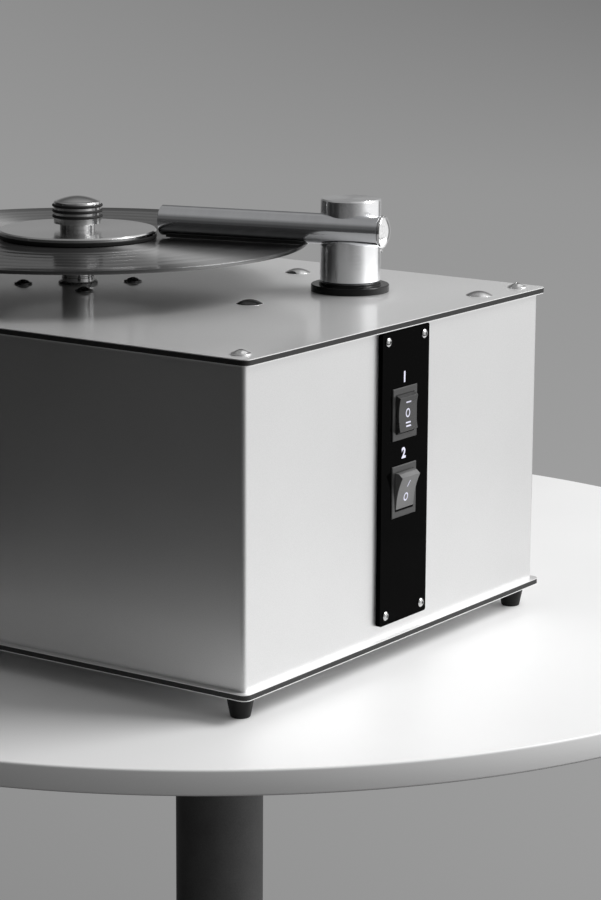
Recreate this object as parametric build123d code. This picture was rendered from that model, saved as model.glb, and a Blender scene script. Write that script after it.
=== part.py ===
from build123d import *
import math
import os

# Record cleaning machine. Millimetres, +Z up, feet on Z = 0, front wall towards -Y.
# All places below are measured from the middle of the plates. The saved pieces are moved so
# that the origin lies below the middle of the whole machine, fittings included.

os.makedirs("parts", exist_ok=True)

# ---------------------------------------------------------------- driving sizes

# case
plate_length = 412.0
plate_width = 334.0
plate_corner_radius = 5.0
skin = 0.5
core = 3.0
wall_height = 191.5
wall_thickness = 4.0
wall_inset = 4.0
fold_radius = 3.0
corner_bar = 12.0
foot_height = 14.0
foot_top_radius = 8.75
foot_bottom_radius = 5.9
foot_recess = 6.0
foot_recess_radius = 4.2
foot_screw_head = 4.0
foot_screw_head_height = 3.0
foot_screw_grip = 6.0

# fasteners
m3_radius = 1.5
m3_head = 2.85
m4_radius = 2.0
m4_head = 4.0
m5_radius = 2.5
m5_head = 4.5
m5_flange = 5.85
m8_radius = 4.0
m8_nut_flats = 13.0
m8_nut_height = 6.5
thread_gap = 0.05
hole_gap = 0.2
corner_screw_depth = 16.0

# turning record support
spindle_x = -48.7
spindle_y = -2.5
motor_screw_spacing = 50.8
motor_pad_thickness = 2.0
gearbox_width = 60.0
gearbox_height = 38.0
gearbox_corner_radius = 4.0
gearbox_thread_depth = 12.0
motor_radius = 29.0
motor_length = 80.0
motor_end_radius = 20.0
motor_end_height = 4.0
terminal_box_width = 24.0
terminal_box_depth = 16.0
terminal_box_height = 30.0
terminal_box_rise = 20.0
motor_pad_clearance = 5.0
shaft_radius = 4.0
shaft_length = 17.0
shaft_in_gearbox = 20.0
hub_radius = 11.0
hub_floor_gap = 1.0
spindle_sleeve = 1.0
spindle_lip = 0.9
spindle_lip_height = 1.6
spindle_lip_chamfer = 0.4
support_underside = 21.7
support_radius = 49.0
support_thickness = 5.0
pad_thickness = 1.0
pad_bore = 8.0
pin_radius = 3.55
pin_seat = 7.0
pin_rise = 19.4
running_gap = 0.05
body_gap = 0.35

# record
record_radius = 150.5
record_thickness = 2.4
record_rim_width = 3.5
record_label_radius = 50.0
groove_recess = 0.2

# record clamp
clamp_radius = 51.5
clamp_seal_thickness = 2.9
clamp_disc_thickness = 2.7
neck_radius = 11.6
clamp_disc_chamfer = 0.9
neck_height = 3.8
knob_radius = 15.5
knob_height = 13.2
knob_shoulder = 1.3
knob_dome_height = 3.2
ring_section_radius = 0.9
ring_stand_out = 1.0
ring_first_height = 4.6
ring_spacing = 3.5
ring_count = 3

# suction arm
post_x = 112.0
post_y = 77.0
arm_angle = 14.5
arm_offset = 13.3
arm_clearance = 0.5
arm_drop = 0.4
strip_thickness = 0.6
strip_inner = 1.3
strip_outer = 5.0
post_radius = 19.5
post_top = 59.75
post_chamfer = 0.9
arm_tube_radius = 9.9
arm_tube_wall = 1.5
arm_reach = 125.4
arm_tail = 25.5
slot_width = 2.4
strip_start = 121.0
strip_end = 24.5
cap_radius = 10.4
cap_flange = 2.0
cap_dome = 3.2
cap_plug = 6.0
tube_end_wall = 3.0
base_ring_radius = 25.3
base_ring_height = 4.6
base_ring_shoulder_radius = 20.0
base_ring_shoulder = 1.7
bearing_radius = 15.0
bearing_flange_radius = 22.0
bearing_flange = 4.0
swivel_radius = 11.0
swivel_wall = 2.0
swivel_top = 31.0
swivel_dip = 41.5
swivel_flange_radius = 17.0
swivel_flange = 2.0
swivel_collar_radius = 16.0
swivel_collar_height = 6.0
air_bore = 8.0
seal_section = 0.9
seal_height = 18.0
guide_screw_height = 28.0
guide_screw_angle = 38.0
arm_lift = 4.0

# waste tank, hung from the top plate under the arm post
tank_radius = 76.0
tank_wall = 3.0
tank_height = 148.0
tank_flange_radius = 79.0
tank_flange = 4.0
tank_seal = 1.5
lid_thickness = 5.0
tank_spacer = 23.5
tank_spacer_radius = 7.0
tank_bolt_radius = 84.0
tank_bolt_angles = (23.5, 148.4, 255.5)
tank_ear_radius = 8.0
dome_head_radius = 8.6
dome_head_height = 2.8
air_spigot_radius = 10.0
air_spigot_bore = 8.0
air_spigot_reach = 14.0
air_spigot_drop = 20.0
hose_wall = 2.5
hose_bend = 30.0

# vacuum motor
vacuum_x = 112.0
vacuum_y = -80.0
mount_pad_height = 8.0
vacuum_motor_radius = 48.0
vacuum_motor_height = 54.0
motor_windows = 8
fan_case_radius = 62.0
fan_case_height = 38.0
fan_spigot_height = 8.0
horn_length = 80.0
horn_width = 26.0
horn_height = 28.0
horn_depth = 30.0
mount_flange = 3.0
mount_flange_width = 14.0

# switch plate on the right wall
switch_plate_width = 52.0
switch_plate_height = 182.3
switch_plate_thickness = 3.0
switch_plate_top_gap = 0.6
plate_screw_margin = 6.0
switch_y = -1.5
switch_bezel_width = 27.0
switch_bezel_height = 32.4
switch_bezel_proud = 0.8
switch_bezel_chamfer = 0.4
switch_body_width = 21.9
switch_body_height = 29.9
switch_body_depth = 25.0
motor_switch_drop = 56.6
vacuum_switch_drop = 104.8
blade_length = 9.0
blade_offset = 5.0
rocker_width = 19.8
rocker_radius = 12.0
rocker_rise = 3.0
rocker_half = 10.4
rocker_back = 5.0
rocker_hollow = 1.1
rocker_gap = 0.3
rocker_tilt = 13.0

# rear panel
inlet_x = -140.0
inlet_z = 52.0
inlet_flange = 3.0
inlet_flange_length = 49.5
inlet_flange_height = 23.0
inlet_screw_spacing = 40.0
inlet_body_length = 27.8
inlet_body_height = 19.8
inlet_body_depth = 26.0
inlet_tab = 8.0
inlet_recess_length = 24.4
inlet_recess_height = 16.6
inlet_recess = 17.0
grille_x = -60.0
grille_z = 118.0
grille_radius = 45.0
grille_hole_radius = 38.0
grille_slots = 9
grille_slot_pitch = 8.0
grille_slot_width = 4.0
grille_thickness = 2.0
drain_z = 44.0
drain_radius = 7.0
drain_bore = 5.0
drain_reach = 23.0
drain_collar_radius = 11.0
drain_cap_end = 3.0
drain_cap_gap = 0.08
drain_cap_grips = 12
drain_cap_radius = 9.5
drain_cap_length = 14.0
rear_screw_heights = (30.0, 96.0, 162.0)

# electrical pieces on the base
board_x = -130.0
board_y = -95.0
board_length = 100.0
board_width = 70.0
board_thickness = 1.6
board_post_height = 8.0
terminal_width = 12.0
terminal_height = 11.0
lead_radius = 1.75
lead_rise_x = 146.0
lead_bend = 18.0

# ---------------------------------------------------------------- places worked out

plate_thickness = core + 2 * skin
base_bottom = foot_height
base_top = base_bottom + plate_thickness
wall_top = base_top + wall_height
deck = wall_top + plate_thickness
wall_x = plate_length / 2 - wall_inset
wall_y = plate_width / 2 - wall_inset
inner_x = wall_x - wall_thickness
inner_y = wall_y - wall_thickness
bar_x = inner_x - corner_bar / 2
bar_y = inner_y - corner_bar / 2
corners = [(sx * bar_x, sy * bar_y) for sx in (-1, 1) for sy in (-1, 1)]

half_spacing = motor_screw_spacing / 2
motor_screws_at = [
    (spindle_x + sx * half_spacing, spindle_y + sy * half_spacing)
    for sx in (-1, 1)
    for sy in (-1, 1)
]
gearbox_top = wall_top - motor_pad_thickness
hub_bottom = gearbox_top + hub_floor_gap
hub_top = deck + support_underside
record_bottom = hub_top + support_thickness + pad_thickness
record_top = record_bottom + record_thickness
clamp_disc_bottom = record_top + clamp_seal_thickness
clamp_disc_top = clamp_disc_bottom + clamp_disc_thickness
knob_bottom = clamp_disc_top + neck_height

tube_height = record_top + arm_clearance + strip_thickness + arm_tube_radius
base_ring_top = deck + base_ring_height
shoulder_top = base_ring_top + base_ring_shoulder
post_bottom = shoulder_top + arm_drop + 0.3
post_ceiling = shoulder_top + 0.1 + swivel_flange + arm_drop + 0.2
tank_bolts_at = [
    (
        post_x + tank_bolt_radius * math.cos(math.radians(a)),
        post_y + tank_bolt_radius * math.sin(math.radians(a)),
    )
    for a in tank_bolt_angles
]
lid_top = wall_top - tank_spacer
lid_bottom = lid_top - lid_thickness
tank_top = lid_bottom - tank_seal
tank_bottom = tank_top - tank_height
air_spigot_z = tank_top - air_spigot_drop
fan_bottom = base_top + mount_pad_height + vacuum_motor_height
fan_top = fan_bottom + fan_case_height

switch_plate_top = wall_top - switch_plate_top_gap
switch_plate_middle = switch_plate_top - switch_plate_height / 2
switch_face = wall_x + switch_plate_thickness
bezel_face = switch_face + switch_bezel_proud
motor_switch_z = deck - motor_switch_drop
vacuum_switch_z = deck - vacuum_switch_drop
rocker_pivot_x = bezel_face
blade_tip = switch_face - switch_body_depth - blade_length
rear_face = wall_y

tilt = math.radians(rocker_tilt)
right_end = rocker_pivot_x + rocker_rise * math.cos(tilt) + rocker_half * math.sin(tilt)
rear_end = rear_face + drain_reach + drain_cap_end
to_origin = Pos((plate_length / 2 - right_end) / 2, (plate_width / 2 - rear_end) / 2, 0)

FROM_BELOW = (Align.CENTER, Align.CENTER, Align.MIN)


# ---------------------------------------------------------------- helpers

def rod(x, y, z, radius, height):
    """Upright cylinder that stands on z."""
    return Pos(x, y, z) * Cylinder(radius, height, align=FROM_BELOW)


def pipe(x, y, z, outer, inner, height):
    """Upright ring that stands on z."""
    return rod(x, y, z, outer, height) - rod(x, y, z - 1, inner, height + 2)


def block(x, y, z, length, width, height):
    """Upright block centred on x, y that stands on z."""
    return Pos(x, y, z) * Box(length, width, height, align=FROM_BELOW)


def lying_rod(x, y, z, radius, length):
    """Cylinder that runs from y towards +Y."""
    return Pos(x, y, z) * Rot(-90, 0, 0) * Cylinder(radius, length, align=FROM_BELOW)


def sideways_rod(x, y, z, radius, length):
    """Cylinder that runs from x towards +X."""
    return Pos(x, y, z) * Rot(0, 90, 0) * Cylinder(radius, length, align=FROM_BELOW)


def turned(x, y, z, outline):
    """Solid of revolution about the upright line at x, y; outline holds (radius, height)."""
    points = [(radius, 0, height) for radius, height in outline]
    face = make_face(Polyline(*points, close=True))
    return Pos(x, y, z) * revolve(face, Axis.Z)


def dome(radius, height):
    """Spherical cap that stands on the origin."""
    ball = (radius**2 + height**2) / (2 * height)
    cap = Pos(0, 0, height - ball) * Sphere(ball)
    return cap & Cylinder(radius + 1, height, align=FROM_BELOW)


def together(pieces):
    """One group of separate solids."""
    solids = []
    for piece in pieces:
        solids.extend(piece.solids())
    return Compound(children=solids)


def save(name, shape):
    """Writes the shape's solids, moved to the machine's own origin."""
    solids = [to_origin * solid for solid in shape.solids()]
    export_step(Compound(children=solids), f"parts/{name}.step")


# ---------------------------------------------------------------- screws

def flanged_screw(shank):
    """M5 flanged button screw, head on the origin, shank pointing down."""
    flange = 1.0
    socket = 1.5
    body = Cylinder(m5_flange, flange, align=FROM_BELOW) + Pos(0, 0, flange) * dome(m5_head, 1.9)
    body -= Pos(0, 0, 1.4) * extrude(RegularPolygon(socket, 6), 3)
    return body + Pos(0, 0, -shank) * Cylinder(m5_radius, shank, align=FROM_BELOW)


def pan_screw(shank_radius, head_radius, head_height, shank):
    """Pan-head screw with a hexagon socket, head on the origin, shank pointing down."""
    head = dome(head_radius, head_height)
    head -= Pos(0, 0, head_height * 0.45) * extrude(RegularPolygon(head_radius * 0.38, 6), 5)
    return head + Pos(0, 0, -shank) * Cylinder(shank_radius, shank, align=FROM_BELOW)


def dome_screw(shank):
    """M8 screw with a wide smooth domed head, head on the origin."""
    head = dome(dome_head_radius, dome_head_height)
    return head + Pos(0, 0, -shank) * Cylinder(m8_radius, shank, align=FROM_BELOW)


# ---------------------------------------------------------------- case

def plate_layer(z, thickness, cutters):
    outline = RectangleRounded(plate_length, plate_width, plate_corner_radius)
    layer = Pos(0, 0, z) * extrude(outline, thickness)
    for cutter in cutters:
        layer -= cutter
    return layer


def sandwich_plate(name, z, cutters):
    """Two thin metal skins with a black core between them."""
    lower = plate_layer(z, skin, cutters)
    middle = plate_layer(z + skin, core, cutters)
    upper = plate_layer(z + skin + core, skin, cutters)
    save(name + "_skins", together([lower, upper]))
    save(name + "_core", middle)


def make_plates():
    below = wall_top - 1
    depth = plate_thickness + 2
    top_cuts = [rod(x, y, below, m5_radius + hole_gap, depth) for x, y in corners]
    top_cuts += [rod(x, y, below, m5_radius + hole_gap, depth) for x, y in motor_screws_at]
    top_cuts += [rod(x, y, below, m8_radius + hole_gap, depth) for x, y in tank_bolts_at]
    top_cuts.append(rod(spindle_x, spindle_y, below, hub_radius + spindle_sleeve + thread_gap, depth))
    top_cuts.append(rod(post_x, post_y, below, bearing_radius + thread_gap, depth))
    sandwich_plate("top_plate", wall_top, top_cuts)
    below = base_bottom - 1
    base_cuts = [rod(x, y, below, m5_radius + hole_gap, depth) for x, y in corners]
    base_cuts += [rod(x, y, below, m4_radius + hole_gap, depth) for x, y in mount_screws_at()]
    sandwich_plate("base_plate", base_bottom, base_cuts)


def switch_places():
    return [(switch_y, motor_switch_z), (switch_y, vacuum_switch_z)]


def plate_screw_places():
    across = switch_plate_width / 2 - plate_screw_margin
    up = switch_plate_height / 2 - plate_screw_margin
    return [(sy * across, switch_plate_middle + sz * up) for sy in (-1, 1) for sz in (-1, 1)]


def switch_cutters():
    """Openings for both switches and the plate screws, through the plate and the wall."""
    deep = wall_thickness + switch_plate_thickness + 2
    middle = (inner_x + switch_face) / 2
    gap = 2 * hole_gap
    cutters = []
    for y, z in switch_places():
        opening = Box(deep, switch_body_width + gap, switch_body_height + gap)
        cutters.append(Pos(middle, y, z) * opening)
    for y, z in plate_screw_places():
        cutters.append(sideways_rod(inner_x - 1, y, z, m3_radius + hole_gap, deep))
    return cutters


def make_case_wrap():
    """Front and side walls, folded from one sheet and open at the back."""
    outer = RectangleRounded(2 * wall_x, 2 * wall_y, fold_radius)
    wrap = Pos(0, 0, base_top) * extrude(outer, wall_height)
    wrap -= block(0, 0, base_top - 1, 2 * inner_x, 2 * inner_y, wall_height + 2)
    wrap -= block(0, wall_y, base_top - 1, 2 * inner_x, 2 * wall_thickness, wall_height + 2)
    for cutter in switch_cutters():
        wrap -= cutter
    save("case_wrap", wrap)


def rear_screws_at():
    return [(sx * bar_x, base_top + z) for sx in (-1, 1) for z in rear_screw_heights]


def make_rear_panel():
    panel = block(0, rear_face - wall_thickness / 2, base_top, 2 * inner_x, wall_thickness, wall_height)
    start = inner_y - 1
    deep = wall_thickness + 2
    for x, z in rear_screws_at():
        panel -= lying_rod(x, start, z, m4_radius + hole_gap, deep)
    panel -= lying_rod(grille_x, start, grille_z, grille_hole_radius, deep)
    panel -= lying_rod(post_x, start, drain_z, drain_radius + hole_gap, deep)
    opening = Box(
        inlet_body_length + 2 * hole_gap, 3 * wall_thickness, inlet_body_height + 2 * hole_gap
    )
    panel -= Pos(inlet_x, rear_face, inlet_z) * opening
    for x, z in trim_screws_at():
        panel -= lying_rod(x, start, z, m3_radius + thread_gap, deep)
    save("rear_panel", panel)


def trim_screws_at():
    """Screws of the power inlet and the exhaust grille."""
    places = [(inlet_x + sx * inlet_screw_spacing / 2, inlet_z) for sx in (-1, 1)]
    reach = (grille_radius + grille_hole_radius) / 2 / math.sqrt(2)
    places += [(grille_x + sx * reach, grille_z + sz * reach) for sx in (-1, 1) for sz in (-1, 1)]
    return places


def make_corner_bars():
    bars = []
    for x, y in corners:
        bar = block(x, y, base_top, corner_bar, corner_bar, wall_height)
        bore = m5_radius + thread_gap
        bar -= rod(x, y, base_top - 1, bore, corner_screw_depth + 1)
        bar -= rod(x, y, wall_top - corner_screw_depth, bore, corner_screw_depth + 1)
        for screw_x, z in rear_screws_at():
            if y > 0 and screw_x == x:
                bar -= lying_rod(x, inner_y - 9, z, m4_radius + thread_gap, 10)
        bars.append(bar)
    save("corner_bars", together(bars))


def make_case_screws():
    shank = plate_thickness + corner_screw_depth - 2
    tops = [Pos(x, y, deck) * flanged_screw(shank) for x, y in corners]
    save("corner_screws", together(tops))
    rear = []
    for x, z in rear_screws_at():
        rear.append(Pos(x, rear_face, z) * Rot(-90, 0, 0) * pan_screw(m4_radius, m4_head, 2.4, 12))
    save("rear_panel_screws", together(rear))
    trim = []
    for index, (x, z) in enumerate(trim_screws_at()):
        seat = rear_face + (inlet_flange if index < 2 else grille_thickness)
        trim.append(Pos(x, seat, z) * Rot(-90, 0, 0) * pan_screw(m3_radius, m3_head, 1.7, 6.5))
    save("rear_trim_screws", together(trim))


def make_feet():
    feet = []
    screws = []
    for x, y in corners:
        foot = Pos(x, y, 0) * Cone(foot_bottom_radius, foot_top_radius, foot_height, align=FROM_BELOW)
        foot -= rod(x, y, -1, foot_recess_radius, foot_recess + 1)
        foot -= rod(x, y, 0, m5_radius + thread_gap, foot_height + 1)
        feet.append(foot)
        head_bottom = foot_recess - foot_screw_head_height
        screw = rod(x, y, head_bottom, foot_screw_head, foot_screw_head_height)
        screw += rod(x, y, foot_recess - 0.5, m5_radius, foot_height + plate_thickness + foot_screw_grip)
        screws.append(screw)
    save("rubber_feet", together(feet))
    save("foot_screws", together(screws))


# ---------------------------------------------------------------- turning record support

def make_gear_motor():
    pad = block(spindle_x, spindle_y, gearbox_top, gearbox_width, gearbox_width, motor_pad_thickness)
    pad_hole = hub_radius + motor_pad_clearance
    pad -= rod(spindle_x, spindle_y, gearbox_top - 1, pad_hole, motor_pad_thickness + 2)
    outline = RectangleRounded(gearbox_width, gearbox_width, gearbox_corner_radius)
    gearbox = Pos(spindle_x, spindle_y, gearbox_top - gearbox_height) * extrude(outline, gearbox_height)
    shaft_bore = shaft_radius + running_gap
    gearbox -= rod(spindle_x, spindle_y, gearbox_top - shaft_in_gearbox - 1, shaft_bore, 50)
    for x, y in motor_screws_at:
        pad -= rod(x, y, gearbox_top - 1, m5_radius + hole_gap, motor_pad_thickness + 2)
        thread = gearbox_thread_depth
        gearbox -= rod(x, y, gearbox_top - thread, m5_radius + thread_gap, thread + 1)
    save("motor_pad", pad)
    save("gearbox", gearbox)
    motor_bottom = gearbox_top - gearbox_height - motor_length
    body_bottom = motor_bottom + motor_end_height
    motor = rod(spindle_x, spindle_y, body_bottom, motor_radius, motor_length - motor_end_height)
    motor += rod(spindle_x, spindle_y, motor_bottom, motor_end_radius, motor_end_height)
    motor += block(
        spindle_x, spindle_y - motor_radius, motor_bottom + terminal_box_rise,
        terminal_box_width, terminal_box_depth, terminal_box_height,
    )
    save("platter_motor", motor)
    shank = plate_thickness + motor_pad_thickness + gearbox_thread_depth - 2
    screws = [Pos(x, y, deck) * flanged_screw(shank) for x, y in motor_screws_at]
    save("motor_screws", together(screws))


def make_spindle():
    bore = hub_radius + body_gap
    sleeve = hub_radius + spindle_sleeve
    lip = sleeve + spindle_lip
    lip_top = plate_thickness + spindle_lip_height
    collar = turned(spindle_x, spindle_y, wall_top, [
        (bore, 0),
        (sleeve, 0),
        (sleeve, plate_thickness),
        (lip, plate_thickness),
        (lip, lip_top - spindle_lip_chamfer),
        (lip - spindle_lip_chamfer, lip_top),
        (bore, lip_top),
    ])
    save("spindle_collar", collar)
    shaft_bottom = gearbox_top - shaft_in_gearbox
    shaft_top = hub_bottom + shaft_length
    save("output_shaft", rod(spindle_x, spindle_y, shaft_bottom, shaft_radius, shaft_top - shaft_bottom))
    hub = rod(spindle_x, spindle_y, hub_bottom, hub_radius, hub_top - hub_bottom)
    hub -= rod(spindle_x, spindle_y, hub_bottom - 1, shaft_radius + 0.02, shaft_length + 1.2)
    hub -= rod(spindle_x, spindle_y, hub_top - pin_seat, pin_radius + 0.02, pin_seat + 1)
    save("spindle_hub", hub)
    hole = pin_radius + running_gap
    disc = pipe(spindle_x, spindle_y, hub_top, support_radius, hole, support_thickness)
    save("support_disc", disc)
    pad_bottom = hub_top + support_thickness
    save("support_pad", pipe(spindle_x, spindle_y, pad_bottom, support_radius, pad_bore, pad_thickness))
    pin_bottom = hub_top - pin_seat + 0.1
    pin = rod(spindle_x, spindle_y, pin_bottom, pin_radius, record_top + pin_rise - pin_bottom)
    save("spindle_pin", chamfer(pin.edges().group_by(Axis.Z)[-1], 0.8))


def make_record():
    """Twelve-inch record: raised rim and label, with the grooved band a little lower."""
    half = record_thickness / 2
    low = half - groove_recess
    inner = pin_radius + 0.07
    rim = record_radius - record_rim_width
    label = record_label_radius
    outline = [
        (inner, -half),
        (label, -half),
        (label + 2, -low),
        (rim, -low),
        (rim + 1.5, -half),
        (record_radius - 0.5, -half),
        (record_radius, -half + 0.6),
        (record_radius, half - 0.6),
        (record_radius - 0.5, half),
        (rim + 1.5, half),
        (rim, low),
        (label + 2, low),
        (label, half),
        (inner, half),
    ]
    save("record", turned(spindle_x, spindle_y, record_bottom + half, outline))


# ---------------------------------------------------------------- record clamp

def ring_heights():
    return [knob_bottom + ring_first_height + i * ring_spacing for i in range(ring_count)]


def make_clamp():
    hole = pin_radius + 0.08
    seal = pipe(spindle_x, spindle_y, record_top, clamp_radius, neck_radius, clamp_seal_thickness)
    save("clamp_seal", seal)
    disc = turned(spindle_x, spindle_y, clamp_disc_bottom, [
        (hole, 0),
        (clamp_radius, 0),
        (clamp_radius, clamp_disc_thickness - clamp_disc_chamfer),
        (clamp_radius - clamp_disc_chamfer, clamp_disc_thickness),
        (hole, clamp_disc_thickness),
    ])
    save("clamp_disc", disc)
    pin_top = record_top + pin_rise
    edge = knob_radius - knob_shoulder
    shoulder = neck_height + knob_height + knob_shoulder
    knob = turned(spindle_x, spindle_y, clamp_disc_top, [
        (hole, 0),
        (neck_radius, 0),
        (neck_radius, neck_height),
        (knob_radius, neck_height),
        (knob_radius, neck_height + knob_height),
        (edge, shoulder),
        (0, shoulder),
        (0, pin_top + 0.6 - clamp_disc_top),
        (hole, pin_top + 0.6 - clamp_disc_top),
    ])
    knob += Pos(spindle_x, spindle_y, clamp_disc_top + shoulder) * dome(edge, knob_dome_height)
    middle = knob_radius + ring_stand_out - ring_section_radius
    rings = []
    for z in ring_heights():
        place = Pos(spindle_x, spindle_y, z)
        knob -= place * Torus(middle, ring_section_radius + thread_gap)
        rings.append(place * Torus(middle, ring_section_radius))
    save("clamp_knob", knob)
    save("clamp_rings", together(rings))


# ---------------------------------------------------------------- suction arm

# In the arm's own frame the post axis is the Z axis, the tube runs along X with its free
# end towards -X, and the tube lies on the -Y side of the post.
arm_frame = Pos(post_x, post_y, 0) * Rot(0, 0, arm_angle)


def along_arm(start, end, radius):
    """Cylinder on the tube's axis, from start to end."""
    place = Pos(start, -arm_offset, tube_height) * Rot(0, 90, 0)
    return place * Cylinder(radius, end - start, align=FROM_BELOW)


def make_arm_mount():
    """The fixed ring and bearing in the top plate, and the pipe that turns in them."""
    ring = turned(post_x, post_y, deck, [
        (bearing_radius + thread_gap, 0),
        (base_ring_radius, 0),
        (base_ring_radius, base_ring_height - 0.6),
        (base_ring_radius - 0.6, base_ring_height),
        (base_ring_shoulder_radius, base_ring_height),
        (base_ring_shoulder_radius, base_ring_height + base_ring_shoulder),
        (bearing_radius + thread_gap, base_ring_height + base_ring_shoulder),
    ])
    save("arm_base_ring", ring)
    flange_bottom = wall_top - bearing_flange
    bearing = rod(post_x, post_y, flange_bottom, bearing_radius, shoulder_top - flange_bottom)
    bearing += rod(post_x, post_y, flange_bottom, bearing_flange_radius, bearing_flange)
    bearing -= rod(post_x, post_y, flange_bottom - 1, swivel_radius + running_gap, 60)
    save("swivel_bearing", bearing)
    pipe_bottom = wall_top - swivel_dip
    pipe_top = deck + swivel_top
    swivel = rod(post_x, post_y, pipe_bottom, swivel_radius, pipe_top - pipe_bottom)
    swivel += rod(post_x, post_y, shoulder_top + 0.1, swivel_flange_radius, swivel_flange)
    swivel -= rod(post_x, post_y, pipe_bottom - 1, swivel_radius - swivel_wall, 120)
    slot_low = deck + guide_screw_height - arm_drop - m4_radius - 0.3
    slot_high = deck + guide_screw_height + arm_lift + m4_radius + 0.3
    slot_high = min(slot_high, pipe_top + 1)
    slot = Box(20, 2 * m4_radius + 0.4, slot_high - slot_low, align=(Align.MIN, Align.CENTER, Align.MIN))
    swivel -= Pos(post_x, post_y, slot_low) * Rot(0, 0, guide_screw_angle) * slot
    save("swivel_pipe", swivel)
    collar_bottom = flange_bottom - 0.1 - swivel_collar_height
    collar = pipe(
        post_x, post_y, collar_bottom,
        swivel_collar_radius, swivel_radius + 0.02, swivel_collar_height,
    )
    save("swivel_collar", collar)


def make_arm_post():
    height = deck + post_top - post_bottom
    post = Pos(0, 0, post_bottom) * Cylinder(post_radius, height, align=FROM_BELOW)
    post = chamfer(post.edges().group_by(Axis.Z)[-1], post_chamfer)
    post -= Pos(0, 0, post_bottom - 1) * Cylinder(
        swivel_flange_radius + 0.3, post_ceiling - post_bottom + 1, align=FROM_BELOW
    )
    bore_top = deck + swivel_top + arm_drop + 0.3
    post -= Pos(0, 0, post_bottom - 1) * Cylinder(
        swivel_radius + 0.06, bore_top - post_bottom + 1, align=FROM_BELOW
    )
    post -= air_passage()
    post -= along_arm(-60, 60, arm_tube_radius + 0.02)
    middle = swivel_radius + 0.02 + seal_section
    seat = Pos(0, 0, deck + seal_height)
    post -= seat * Torus(middle, seal_section + thread_gap)
    post = arm_frame * post
    save("arm_seal_ring", arm_frame * seat * Torus(middle, seal_section))
    post -= guide_screw(0.05)
    save("arm_post", post)
    save("arm_guide_screw", guide_screw(0))


def air_passage():
    """The upright bore that joins the swivel pipe to the tube."""
    low = deck + swivel_top
    return Pos(0, 0, low) * Cylinder(air_bore, tube_height + 2 - low, align=FROM_BELOW)


def guide_screw(gap):
    """Button screw in the side of the post; its tip rides in a slot of the swivel pipe."""
    tip = swivel_radius - swivel_wall + 0.4
    place = Pos(post_x, post_y, deck + guide_screw_height) * Rot(0, 0, guide_screw_angle)
    shank = Pos(tip, 0, 0) * Rot(0, 90, 0) * Cylinder(
        m4_radius + gap, post_radius - tip, align=FROM_BELOW
    )
    seat = post_radius - 0.4
    head = Pos(seat, 0, 0) * Rot(0, 90, 0) * (Cylinder(4 + gap, 0.8, align=FROM_BELOW))
    head += Pos(seat + 0.8, 0, 0) * Rot(0, 90, 0) * dome(4 + gap, 1.4)
    return place * (shank + head)


def make_arm_tube():
    tube = along_arm(-arm_reach, arm_tail, arm_tube_radius)
    ends = tube.edges().filter_by(GeomType.CIRCLE)
    tube = chamfer(ends, 0.5)
    tube -= along_arm(-arm_reach + tube_end_wall, arm_tail + 1, arm_tube_radius - arm_tube_wall)
    slot_length = strip_start - strip_end
    slot = Box(slot_length, slot_width, arm_tube_radius + 2)
    middle = -(strip_start + strip_end) / 2
    tube -= Pos(middle, -arm_offset, tube_height - arm_tube_radius / 2 - 1) * slot
    tube -= air_passage()
    save("arm_tube", arm_frame * tube)
    plug_radius = arm_tube_radius - arm_tube_wall - 0.02
    outer_cap = along_arm(arm_tail - cap_plug, arm_tail, plug_radius)
    outer_cap += along_arm(arm_tail, arm_tail + cap_flange, cap_radius)
    face = Pos(arm_tail + cap_flange, -arm_offset, tube_height) * Rot(0, 90, 0)
    outer_cap += face * dome(cap_radius, cap_dome)
    save("arm_end_cap", arm_frame * outer_cap)
    strips = []
    low = record_top + arm_clearance
    for side in (-1, 1):
        width = strip_outer - strip_inner
        middle_y = -arm_offset + side * (strip_inner + strip_outer) / 2
        strip = Pos(middle, middle_y, low) * Box(slot_length, width, 8, align=FROM_BELOW)
        strip -= along_arm(-arm_reach - 1, arm_tail, arm_tube_radius)
        strips.append(arm_frame * strip.solids().sort_by(Axis.Z)[0])
    save("velvet_strips", together(strips))


# ---------------------------------------------------------------- waste tank

def ears(z, thickness):
    """Round flange with three lugs for the tank bolts."""
    shape = Pos(post_x, post_y, z) * Cylinder(tank_flange_radius, thickness, align=FROM_BELOW)
    for x, y in tank_bolts_at:
        shape += rod(x, y, z, tank_ear_radius, thickness)
    for x, y in tank_bolts_at:
        shape -= rod(x, y, z - 1, m8_radius + hole_gap, thickness + 2)
    return shape


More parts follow.
